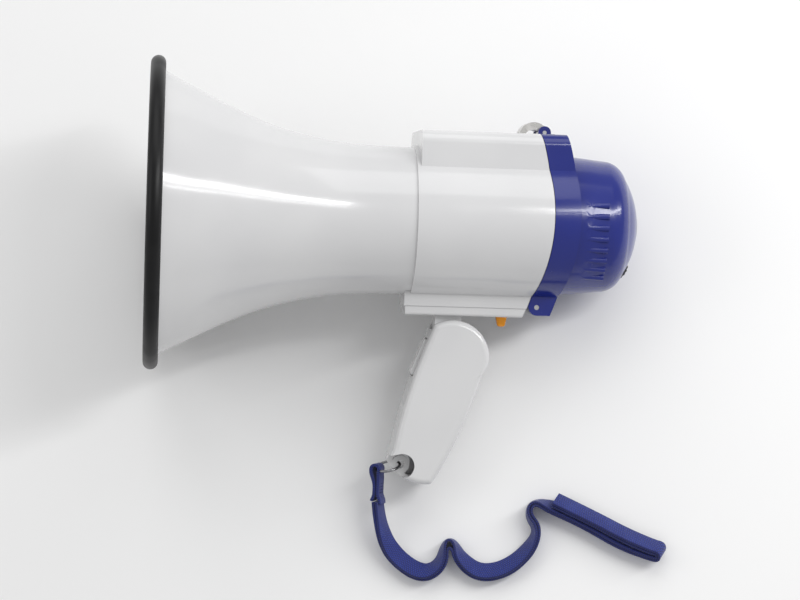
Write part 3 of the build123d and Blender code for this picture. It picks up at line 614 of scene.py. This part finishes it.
def revolve(name: str, profile: Array, steps: int = 160) -> bpy.types.Object:
    """Turns a closed outline of (x, r) about the horn's axis: (x, r cos a, r sin a)."""
    a = np.linspace(0, 2 * np.pi, steps, endpoint=False)
    x = np.broadcast_to(profile[:, None, 0], (len(profile), steps))
    y = profile[:, None, 1] * np.cos(a)
    z = profile[:, None, 1] * np.sin(a)
    return grid_object(name, DESIGN.row(np.stack([x, y, z], -1)), True, True)


def carry(path: Array, up: Array, section: Array) -> Array:
    """Carries a section along a path.

    Each ring is the path's point plus the section's first coordinate along the side
    direction and its second along up, which is made square to the path.

    Args:
        path: Points of the line, (n, 3).
        up: The wanted up direction at each point, (n, 3).
        section: The section's points, (m, 2) or (n, m, 2).

    Returns:
        The grid of points, (n, m, 3).
    """
    tangent = np.gradient(path, axis=0)
    tangent /= np.linalg.norm(tangent, axis=1, keepdims=True)
    up = up - (up * tangent).sum(1, keepdims=True) * tangent
    up /= np.linalg.norm(up, axis=1, keepdims=True)
    aside = np.cross(tangent, up)
    shape = np.broadcast_to(section, (len(path), *section.shape[-2:]))
    return path[:, None] + shape[..., :1] * aside[:, None] + shape[..., 1:] * up[:, None]


def band_section(thick: float, width: float, corner: float) -> Array:
    """A flat band's outline with rounded corners, side coordinate first."""
    a, b = thick / 2 - corner, width / 2 - corner
    turns = [arc((a, b), corner, 0, 90, 5), arc((-a, b), corner, 90, 180, 5)]
    turns += [arc((-a, -b), corner, 180, 270, 5), arc((a, -b), corner, 270, 360, 5)]
    return np.concatenate(turns)


class Workshop:
    """Finishes pieces: material, body, slot and what they stand for."""

    CRISP = 24.0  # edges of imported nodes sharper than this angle, in degrees, stay crisp
    EVENNESS = 60  # how strongly large faces rule the shading round them

    def __init__(self, finishes: Finishes) -> None:
        """Keeps the finishes at hand."""
        self.finishes = finishes

    def fit(self, piece: bpy.types.Object, body: Body, slot: Slot, *nodes: str) -> bpy.types.Object:
        """Dresses a piece and fits it to its body.

        Args:
            piece: The finished mesh.
            body: The body it rides on.
            slot: The material slot.
            nodes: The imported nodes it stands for.

        Returns:
            The same piece.
        """
        piece.data.materials.clear()
        piece.data.materials.append(self.finishes.by_slot[slot.value])
        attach(piece, body.value)
        if nodes:
            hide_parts(*nodes)
        log.info("%s: %d faces on %s", piece.name, len(piece.data.polygons), body.value)
        return piece

    def smoothed(self, node: str, body: Body, slot: Slot) -> bpy.types.Object:
        """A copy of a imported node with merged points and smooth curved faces.

        Args:
            node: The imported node.
            body: The body it rides on.
            slot: Its material slot.

        Returns:
            The dressed copy, which stands for the node.
        """
        mesh = frame["nodes"][node].data.copy()
        mesh.name = f"{node}_skin"
        piece = bpy.data.objects.new(f"{node}_skin", mesh)
        bpy.context.scene.collection.objects.link(piece)
        if mesh.has_custom_normals:
            mesh.attributes.remove(mesh.attributes["custom_normal"])
        tidy_mesh(piece, self.CRISP, outward=False)
        even = piece.modifiers.new("even_shading", "WEIGHTED_NORMAL")
        even.keep_sharp = True
        even.weight = self.EVENNESS
        return self.fit(piece, body, slot, node)


# ---------------------------------------------------------------- camera and light
@dataclass
class Studio:
    """A white table, soft boxes and the camera that looks square at the near side."""

    eye: tuple[float, float, float] = (5.0, -1200.0, 0.0)
    aim: tuple[float, float, float] = (124.0, 0.0, -40.0)
    lens: float = 108.0
    tilt: float = -1.85
    table_half: float = 3.0  # metres
    middle: tuple[float, float, float] = (110.0, 0.0, 0.0)  # what the lights are aimed at
    room_glow: float = 0.56

    def camera(self) -> bpy.types.Object:
        """Places the camera at the eye, turned towards the aim with the horn's Z nearly up."""
        data = bpy.data.cameras.new("camera")
        data.lens = self.lens
        data.sensor_width = 36.0
        data.clip_start, data.clip_end = 0.05, 20.0
        made = bpy.data.objects.new("camera", data)
        bpy.context.scene.collection.objects.link(made)
        eye, aim = DESIGN.row(self.eye), DESIGN.row(self.aim)
        back = Vector(eye - aim).normalized()
        roll = radians(self.tilt)
        up = Vector(DESIGN.z * cos(roll) + DESIGN.x * sin(roll))
        right = up.cross(back).normalized()
        up = back.cross(right)
        turn = Matrix((right, up, back)).transposed().to_4x4()
        made.matrix_world = Matrix.Translation(Vector(eye)) @ turn
        bpy.context.scene.camera = made
        return made

    def table(self) -> bpy.types.Object:
        """The table top, a flat sheet at z = 0."""
        side = np.linspace(-self.table_half, self.table_half, 13)
        x, y = np.meshgrid(side, side, indexing="ij")
        rows = np.stack([x, y, np.zeros_like(x)], -1)
        made = grid_object("table_top", rows, False, False)
        if made.data.polygons[0].normal.z < 0:
            made.data.flip_normals()
        made.data.materials.append(TableTop().build())
        return made

    def softbox(
        self, name: str, spot: Sequence[float], size: tuple[float, float], watts: float
    ) -> None:
        """Adds a rectangular light that is aimed at the middle of the megaphone.

        Args:
            name: The light's name.
            spot: Its design place.
            size: Its width and height, in metres.
            watts: Its power.
        """
        data = bpy.data.lights.new(name, "AREA")
        data.shape = "RECTANGLE"
        data.size, data.size_y = size
        data.energy = watts
        made = bpy.data.objects.new(name, data)
        bpy.context.scene.collection.objects.link(made)
        here, there = Vector(DESIGN.row(spot)), Vector(DESIGN.row(self.middle))
        back = (here - there).normalized()
        right = Vector(DESIGN.z).cross(back).normalized()
        turn = Matrix((right, back.cross(right), back)).transposed().to_4x4()
        made.matrix_world = Matrix.Translation(here) @ turn

    def around(self, turn: float, rise: float, distance: float) -> tuple[float, float, float]:
        """A design place by its angles from the near side: turn to the rear, rise upwards."""
        t, e = radians(turn), radians(rise)
        return (
            self.middle[0] + distance * sin(t) * cos(e),
            -distance * cos(t) * cos(e),
            distance * sin(e),
        )

    def lights(self) -> None:
        """Long boxes that streak the flare, broad fills and a pale room."""
        self.softbox("streak_box", self.around(42, 24, 1000), size=(0.95, 0.070), watts=4.2)
        self.softbox("streak_line", self.around(40, 18.5, 1000), size=(0.95, 0.016), watts=0.9)
        self.softbox("upper_fill", self.around(-12, 62, 1300), size=(1.3, 0.9), watts=5.2)
        self.softbox("left_fill", self.around(-65, 12, 1400), size=(0.8, 0.8), watts=2.2)
        world = bpy.data.worlds.new("room")
        world.use_nodes = True
        background = world.node_tree.nodes["Background"]
        background.inputs[0].default_value = (1.0, 1.0, 1.0, 1.0)
        background.inputs[1].default_value = self.room_glow
        bpy.context.scene.world = world
        bpy.context.scene.view_settings.view_transform = "Standard"

    def build(self) -> None:
        """Makes camera, table and lights."""
        self.camera()
        self.table()
        self.lights()


# ---------------------------------------------------------------- wrist strap
@dataclass
class WristStrap:
    """Blue webbing: two layers leave the tab, wander over the table and fold into a bundle."""

    shop: Workshop
    width: float = 10.0
    thick: float = 1.35
    length: float = 275.0
    step: float = 0.8
    tab_end: tuple[float, float] = (115.95, -141.55)
    eye: tuple[float, float] = (115.05, -125.35)
    kink: tuple[float, float] = (30.8, -130.6)
    kink_gap: float = 2.8
    tab_turn: float = 25.0
    tab_width: float = 8.0
    twist_run: float = 22.0
    bundle_point: int = 14
    # Each point: its place on the table and how far the band's top leans out, in degrees.
    route: list[tuple[float, float, float, float]] = field(
        default_factory=lambda: [
            (-4.1, -120.4, 10.4, 12.0),
            (1.4, -135.2, 4.9, 55.0),
            (16.4, -146.5, 4.4, 60.0),
            (26.6, -141.8, 5.0, 38.0),
            (28.7, -129.4, 5.3, 10.0),
            (32.9, -129.2, 5.3, 8.0),
            (36.5, -138.8, 4.9, 42.0),
            (45.9, -146.0, 4.4, 58.0),
            (59.1, -143.8, 4.4, 56.0),
            (70.5, -134.8, 4.8, 42.0),
            (75.9, -124.2, 5.2, 10.0),
            (70.3, -116.2, 5.3, 4.0),
            (73.1, -109.7, 5.2, 14.0),
            (81.9, -112.0, 4.9, 42.0),
            (101.9, -121.6, 4.9, 46.0),
            (117.9, -131.4, 4.9, 46.0),
            (133.0, -137.2, 4.9, 46.0),
            (136.6, -137.9, 5.2, 46.0),
            (136.6, -135.0, 7.7, 46.0),
            (132.6, -134.0, 7.7, 46.0),
            (118.6, -127.9, 7.7, 46.0),
            (101.8, -118.2, 7.7, 46.0),
            (84.4, -109.6, 7.5, 46.0),
        ]
    )

    def line(self) -> Array:
        """The band's smooth middle line, read from one NURBS spline through the route."""
        start = DESIGN.row((self.tab_end[0], 0.0, self.tab_end[1]))
        points = [tuple(start), *(tuple(np.array(p[:3]) * MM) for p in self.route)]
        curve = bpy.data.curves.new("strap_line", "CURVE")
        curve.dimensions = "3D"
        spline = curve.splines.new("NURBS")
        spline.points.add(len(points) - 1)
        for control, point in zip(spline.points, points):
            control.co = (*point, 1.0)
        spline.order_u = 3
        spline.use_endpoint_u = True
        curve.resolution_u = 16
        holder = bpy.data.objects.new("strap_line", curve)
        bpy.context.scene.collection.objects.link(holder)
        bpy.context.view_layer.update()
        mesh = bpy.data.meshes.new_from_object(holder)
        flat = np.zeros(len(mesh.vertices) * 3)
        mesh.vertices.foreach_get("co", flat)
        bpy.data.objects.remove(holder)
        bpy.data.meshes.remove(mesh)
        line = flat.reshape(-1, 3)
        s = np.concatenate([[0.0], np.cumsum(np.linalg.norm(np.diff(line, axis=0), axis=1))])
        t = np.linspace(0, s[-1], int(s[-1] / (self.step * MM)))
        return np.stack([np.interp(t, s, line[:, i]) for i in range(3)], -1)

    @staticmethod
    def softened(values: Array, reach: int) -> Array:
        """Values averaged over a bell-shaped window of reach steps to each side."""
        w = np.exp(-0.5 * (np.linspace(-2, 2, 2 * reach + 1)) ** 2)
        padded = np.pad(values, ((reach, reach), (0, 0)), mode="edge")
        sums = [np.convolve(padded[:, i], w / w.sum(), "valid") for i in range(values.shape[1])]
        return np.stack(sums, -1)

    def stations(self, line: Array) -> Array:
        """Which point of the line lies nearest to each point of the route.

        A place is looked for in its own share of the line, so that the two passes of the
        bundle aren't mistaken for each other.
        """
        spots = np.array([p[:3] for p in self.route]) * MM
        gaps = np.linalg.norm(line[None] - spots[:, None], axis=2)
        runs = np.linalg.norm(np.diff(np.vstack([line[:1], spots]), axis=0), axis=1)
        own = (np.cumsum(runs) / runs.sum())[:, None]
        share = np.linspace(0, 1, len(line))[None]
        return np.maximum.accumulate(np.argmin(gaps + 0.25 * np.abs(share - own), axis=1))

    def ways(self, line: Array) -> Array:
        """The direction of the band's width at each point of the line.

        At the tab it is the tab's own. Along the loose part it is straight up, turned about
        the line by the lean of the route, which is smoothed. In the bundle it stays the same,
        so that the fold is square to the band.
        """
        tangent = np.gradient(line, axis=0)
        tangent /= np.linalg.norm(tangent, axis=1, keepdims=True)
        place = np.arange(len(line))
        near = np.clip(1 - place * self.step / self.twist_run, 0, 1)[:, None]
        up = np.array([0.0, 0.0, 1.0]) * (1 - near) - self.tab_way() * near
        up -= (up * tangent).sum(1, keepdims=True) * tangent
        up /= np.linalg.norm(up, axis=1, keepdims=True)
        spots = self.stations(line)
        lean = np.interp(place, spots, [p[3] for p in self.route])
        lean[: spots[0]] = np.linspace(0.0, lean[spots[0]], spots[0])
        lean = np.radians(self.softened(lean[:, None], 7))
        way = np.sin(lean) * np.cross(tangent, up) + np.cos(lean) * up
        bundle = spots[self.bundle_point]
        way[bundle:] = way[bundle]
        return way

    def tab_way(self) -> Array:
        """The direction of the tab's width: the far side, turned a little to the rear."""
        turn = radians(self.tab_turn)
        return DESIGN.y * cos(turn) + DESIGN.x * sin(turn)

    def layer(self, line: Array, way: Array, side: int) -> Array:
        """One layer of the band.

        The section is carried along the line and moved aside by half a layer. At the kink
        the lower layer hangs back from the upper one, so the layers part.

        Args:
            line: The band's middle line.
            way: The direction of the width at each point.
            side: 1 or -1, the side of the line that the layer lies on.

        Returns:
            The grid of points.
        """
        place = np.arange(len(line))
        tip = int(np.argmin(np.linalg.norm(line[:, :2] - np.array(self.kink) * MM, axis=1)))
        apart = np.exp(-(((place - tip) / 9.0) ** 2))[:, None]
        if side > 0:
            line = line - apart * (0.0, self.kink_gap * MM, 0.0)
        flat = band_section(self.thick, self.width, 0.45) * MM
        offset = side * (self.thick / 2 + 0.08) * MM
        wave = 0.10 * np.sin(place * 0.11 + side)[:, None] * MM
        across = flat[None, :, 0] + offset + wave
        section = np.stack([across, np.broadcast_to(flat[:, 1], across.shape)], -1)
        return carry(line, way, section)

    def strap(self) -> tuple[bpy.types.Object, Array]:
        """Both layers in one mesh, with UVs in metres along and across, and the middle line."""
        line = self.line()
        way = self.ways(line)
        meshes = []
        for side in (1, -1):
            grid = self.layer(line, way, side)
            n, m = grid.shape[:2]
            along = np.arange(n)[:, None] * self.step * MM * np.ones((1, m))
            section = band_section(self.thick, self.width, 0.45) * MM
            across = np.broadcast_to(section[:, 1] + self.width / 2 * MM, (n, m))
            uv = np.stack([along, across], -1)
            uv = np.concatenate([uv[:1], uv, uv[-1:]])
            meshes.append(grid_object("strap_layer", self.closed(grid), False, True, uv))
        return self.joined("wrist_strap_webbing", meshes), line

    @staticmethod
    def closed(grid: Array) -> Array:
        """Adds a ring of the end's middle point at both ends, which closes the band."""
        first = np.broadcast_to(grid[0].mean(0), grid[0].shape)[None]
        last = np.broadcast_to(grid[-1].mean(0), grid[0].shape)[None]
        return np.concatenate([first, grid, last])

    @staticmethod
    def joined(name: str, pieces: list[bpy.types.Object]) -> bpy.types.Object:
        """Joins several pieces into the first, under a new name."""
        work = bmesh.new()
        for piece in pieces:
            work.from_mesh(piece.data)
        mesh = bpy.data.meshes.new(name)
        work.to_mesh(mesh)
        work.free()
        for piece in pieces:
            bpy.data.objects.remove(piece)
        made = bpy.data.objects.new(name, mesh)
        bpy.context.scene.collection.objects.link(made)
        return made

    def turned(self, points: Array) -> Array:
        """Tab points turned about the upright through the tab's end, as row metres."""
        turn = radians(self.tab_turn)
        x, y = points[..., 0] - self.tab_end[0], points[..., 1]
        there_x = self.tab_end[0] + x * cos(turn) + y * sin(turn)
        return DESIGN.row(np.stack([there_x, y * cos(turn) - x * sin(turn), points[..., 2]], -1))

    def tab(self) -> bpy.types.Object:
        """The strap's sewn end: a band carried round the ring's wire and back on itself.

        The strap's own end is held between its two strands, and the left strand is shorter.
        """
        tx, tz = self.tab_end
        side = [(2.2, -1.2), (2.1, 0.3), (1.0, 3.4), (0.88, 5.4), (0.95, 8.5), (1.05, 11.5)]
        right = [(tx + x, tz + z) for x, z in side]
        left = [(tx - x * 1.1, tz + z) for x, z in side[:0:-1]]
        left[0] = (tx - 1.7, tz + 11.0)
        loop = arc(self.eye, 2.1, -20, 200, 21)[::3].tolist()
        flat = spline_through([*right, *loop, *left], 150)
        line = self.turned(np.stack([flat[:, 0], np.zeros(150), flat[:, 1]], -1))
        section = band_section(1.5, self.tab_width, 0.5) * MM
        way = np.broadcast_to(self.tab_way(), line.shape)
        grid = self.closed(carry(line, way, section))
        step = np.concatenate([[0.0], np.cumsum(np.linalg.norm(np.diff(line, axis=0), axis=1))])
        along = step[:, None] * np.ones((1, len(section)))
        across = np.broadcast_to(section[:, 1] + self.width / 2 * MM, along.shape)
        uv = np.stack([along, across], -1)
        uv = np.concatenate([uv[:1], uv, uv[-1:]])
        return grid_object("strap_end_tab", grid, False, True, uv)

    def stitches(self) -> bpy.types.Object:
        """Thread bars across the tab: short arched beads in rows, one formula for all."""
        tx, tz = self.tab_end
        u = np.linspace(-1, 1, 9)
        v = np.linspace(0, 2 * np.pi, 8, endpoint=False)
        girth = 0.16 * np.sqrt(np.clip(1 - u**4, 0, 1))[:, None]
        beads = []
        for face in (-1, 1):
            for height in (4.4, 5.9, 7.4, 8.9):
                for spot in np.linspace(-2.8, 2.8, 5):
                    x = tx + face * (1.78 - 0.28 * u**2)[:, None] + girth * np.cos(v)
                    y = np.broadcast_to((spot + 0.45 * u)[:, None], x.shape)
                    z = np.broadcast_to(tz + height + girth * np.sin(v), x.shape)
                    grid = self.turned(np.stack([x, y, z], -1))
                    beads.append(grid_object("stitch", self.closed(grid), False, True))
        return self.joined("strap_stitches", beads)

    def ring(self) -> bpy.types.Object:
        """The wire ring: a circle of the ring's radius thickened by the wire's radius."""
        lean = radians(14.0)
        radius, wire = 5.9, 0.7
        hole = (self.eye[0] + 2 * radius * cos(lean), self.eye[1] + 2 * radius * sin(lean))
        middle = np.array([(self.eye[0] + hole[0]) / 2, 0.0, (self.eye[1] + hole[1]) / 2])
        forward = np.array([cos(lean), 0.0, sin(lean)])
        roll = radians(17.0)
        upright = np.array([-sin(lean), 0.0, cos(lean)])
        aside = np.array([0.0, 1.0, 0.0]) * cos(roll) + upright * sin(roll)
        lift = np.cross(forward, aside)
        a = np.linspace(0, 2 * np.pi, 96, endpoint=False)[:, None, None]
        b = np.linspace(0, 2 * np.pi, 20, endpoint=False)[None, :, None]
        out = np.cos(a) * forward + np.sin(a) * aside
        grid = middle + out * (radius + wire * np.cos(b)) + lift * wire * np.sin(b)
        return grid_object("strap_wire_ring", DESIGN.row(grid), True, True)

    def build(self) -> None:
        webbing, line = self.strap()
        self.shop.fit(webbing, Body.HANDLE, Slot.WEBBING, "wrist_strap", "strap_hank")
        tab = self.shop.fit(self.tab(), Body.HANDLE, Slot.WEBBING, "strap_tab")
        self.shop.fit(self.stitches(), Body.HANDLE, Slot.WEBBING)
        self.shop.fit(self.ring(), Body.HANDLE, Slot.WIRE, "strap_ring")
        measured = float(np.linalg.norm(np.diff(line, axis=0), axis=1).sum())
        log.info("strap line is %.1f mm long", measured / MM)


# ---------------------------------------------------------------- horn
@dataclass
class Horn:
    """The flared bell, its rubber rim, and the reflector cup and tone tube in its throat."""

    shop: Workshop
    wall: float = 2.0
    neck_end: float = 128.0
    spigot_end: float = 134.0
    spigot_radius: float = 35.9
    bore_radius: float = 34.8
    throat_radius: float = 35.2
    seat: tuple[float, float] = (96.0, 100.0)  # the ring that the throat plate is screwed to
    seat_radius: float = 28.5
    lip_radius: float = 74.5
    rim_core: float = 74.25
    rim_half: float = 3.75
    flare: tuple[tuple[float, float], ...] = (
        (1.0, 72.4),
        (6.0, 69.3),
        (22.0, 61.2),
        (35.0, 54.8),
        (48.5, 49.0),
        (62.0, 44.3),
        (75.0, 41.0),
        (88.0, 38.7),
        (104.0, 37.3),
        (116.0, 36.95),
        (128.0, 36.9),
    )

    def bell_outline(self) -> Array:
        """The flare outside, a stepped spigot, and the same flare a wall thickness inside."""
        outside = spline_through(self.flare, 120)
        run = np.gradient(outside, axis=0)
        run /= np.linalg.norm(run, axis=1, keepdims=True)
        inside = outside + np.stack([run[:, 1], -run[:, 0]], -1) * self.wall
        front, back = self.seat
        inside = inside[inside[:, 0] < front - 1.0][::-1]
        spigot = np.array(
            [
                (self.neck_end, self.spigot_radius),
                (self.spigot_end, self.spigot_radius),
                (self.spigot_end, self.bore_radius),
                (back, self.bore_radius),
                (back, self.seat_radius),
                (front, self.seat_radius),
                (front, self.throat_radius),
            ]
        )
        lip = np.array([(-1.0, 70.7), (-1.0, 74.4), (0.9, self.lip_radius), (1.0, 73.1)])
        return np.concatenate([outside, spigot, inside, lip])

    def bell(self) -> bpy.types.Object:
        """The bell, turned about the axis."""
        return revolve("horn_bell_skin", self.bell_outline(), 220)

    def rim_outline(self) -> Array:
        """A half-round bead with a parting line, a flat front and a groove for the lip."""
        bead = arc((0.0, self.rim_core), self.rim_half, 170, 12, 33)
        swell = 1 + 0.004 * np.cos(np.linspace(-20, 20, 33)) ** 8
        bead = (bead - (0.0, self.rim_core)) * swell[:, None] + (0.0, self.rim_core)
        back = np.array([(3.75, 74.0), (3.75, 73.7), (3.4, 73.25), (1.05, 73.2), (1.05, 74.55)])
        front = np.array([(-1.05, 74.55), (-1.05, 71.3), (-3.4, 71.25), (-3.75, 71.6), (-3.75, 74.25)])
        return np.concatenate([bead, back, front])

    def rim(self) -> bpy.types.Object:
        """The rim guard, turned about the axis."""
        return revolve("rim_guard_skin", self.rim_outline(), 220)

    def build(self) -> None:
        """Makes the horn's three turned pieces."""
        self.shop.fit(self.bell(), Body.HOUSING, Slot.SHELL, "horn_bell")
        self.shop.fit(self.rim(), Body.HOUSING, Slot.RIM, "rim_guard")
        self.shop.smoothed("reflector_cup", Body.HOUSING, Slot.SHELL)
        self.shop.smoothed("tone_tube", Body.HOUSING, Slot.SHELL)


# ---------------------------------------------------------------- housing
@dataclass
class Housing:
    """The ridged shell, the base plate under it and the bracket that carries the handle."""

    shop: Workshop
    knob_half: float = 2.8
    knob_taper: float = 1.0
    knob_top: float = -47.0
    knob_height: float = 5.1
    stem_half: float = 1.45
    stem_height: float = 8.0

    def knob(self) -> bpy.types.Object:
        """The orange knob: a rounded square whose size falls towards its tip, with ridges.

        A ring at height t is a superellipse of half size w(t), scaled by a small sine of the
        height that makes the finger ridges.
        """
        low, high = self.span()
        middle = float(low[0] + high[0]) / 2
        t = np.linspace(0, 1, 40)
        half = self.knob_half - self.knob_taper * t
        half = half * np.where(t > 0.8, np.sqrt(np.clip(1 - ((t - 0.8) / 0.2) ** 2, 0, 1)), 1.0)
        half = half * (1 + 0.02 * np.sin(t * 2 * np.pi * 5) * (t < 0.8))
        a = np.linspace(0, 2 * np.pi, 48, endpoint=False)
        c, s = np.cos(a), np.sin(a)
        square = (np.abs(c) ** 5 + np.abs(s) ** 5) ** (-1 / 5)
        x = middle + half[:, None] * square * c
        y = half[:, None] * square * s
        z = np.broadcast_to((self.knob_top - self.knob_height * t)[:, None], x.shape)
        stem = self.stem_half * square
        stem_ring = np.stack([middle + stem * c, stem * s, np.full(len(a), self.knob_top)], -1)
        stem_top = stem_ring + (0.0, 0.0, self.stem_height)
        pole = np.broadcast_to(stem_top.mean(0), stem_top.shape)
        grid = np.concatenate([pole[None], stem_top[None], stem_ring[None], np.stack([x, y, z], -1)])
        return grid_object("mode_knob_skin", DESIGN.row(grid), False, True)

    @staticmethod
    def span() -> Array:
        """The knob's lowest and highest design coordinates."""
        mesh = frame["nodes"]["mode_knob"].data
        flat = np.zeros(len(mesh.vertices) * 3)
        mesh.vertices.foreach_get("co", flat)
        local = (flat.reshape(-1, 3) - DESIGN.origin) @ DESIGN.axes.T / MM
        return np.stack([local.min(0), local.max(0)])

    def build(self) -> None:
        """Dresses the shell pieces and makes the knob."""
        self.shop.smoothed("housing", Body.HOUSING, Slot.SHELL)
        self.shop.smoothed("base_plate", Body.HOUSING, Slot.SHELL)
        self.shop.smoothed("handle_bracket", Body.HOUSING, Slot.SHELL)
        self.shop.fit(self.knob(), Body.KNOB, Slot.KNOB, "mode_knob")


# ---------------------------------------------------------------- handle
@dataclass
class Handle:
    """The folding grip in two halves with its trigger and pins."""

    shop: Workshop

    def build(self) -> None:
        """Dresses both halves and what shows between them."""
        for node in ("handle_left", "handle_right"):
            self.shop.smoothed(node, Body.HANDLE, Slot.SHELL)
        self.shop.smoothed("handle_pin", Body.HANDLE, Slot.STEEL)
        self.shop.smoothed("handle_screws", Body.HANDLE, Slot.STEEL)
        self.shop.smoothed("trigger", Body.TRIGGER, Slot.SHELL)


# ---------------------------------------------------------------- rear cap
@dataclass
class RearCap:
    """The blue cap with its dome, the microphone grille, the volume wheel and the latch."""

    shop: Workshop

    def build(self) -> None:
        """Dresses the cap's pieces."""
        self.shop.smoothed("cap_shell", Body.CAP, Slot.CAP)
        self.shop.smoothed("mic_grille", Body.CAP, Slot.BLACK)
        self.shop.smoothed("volume_wheel", Body.WHEEL, Slot.BLACK)
        self.shop.smoothed("latch", Body.LATCH, Slot.NICKEL)
        self.shop.smoothed("latch_pin", Body.CAP, Slot.STEEL)
        self.shop.smoothed("cap_pin", Body.HOUSING, Slot.STEEL)


def main() -> None:
    """Builds the studio, then each sub-assembly."""
    logging.basicConfig(level=logging.INFO, format="%(name)s: %(message)s")
    Studio().build()
    finishes = Finishes()
    finishes.dress_frame()
    shop = Workshop(finishes)
    for maker in (WristStrap(shop), Horn(shop), Housing(shop), Handle(shop), RearCap(shop)):
        log.info("building %s", type(maker).__name__)
        maker.build()


if __name__ == "__main__":
    main()
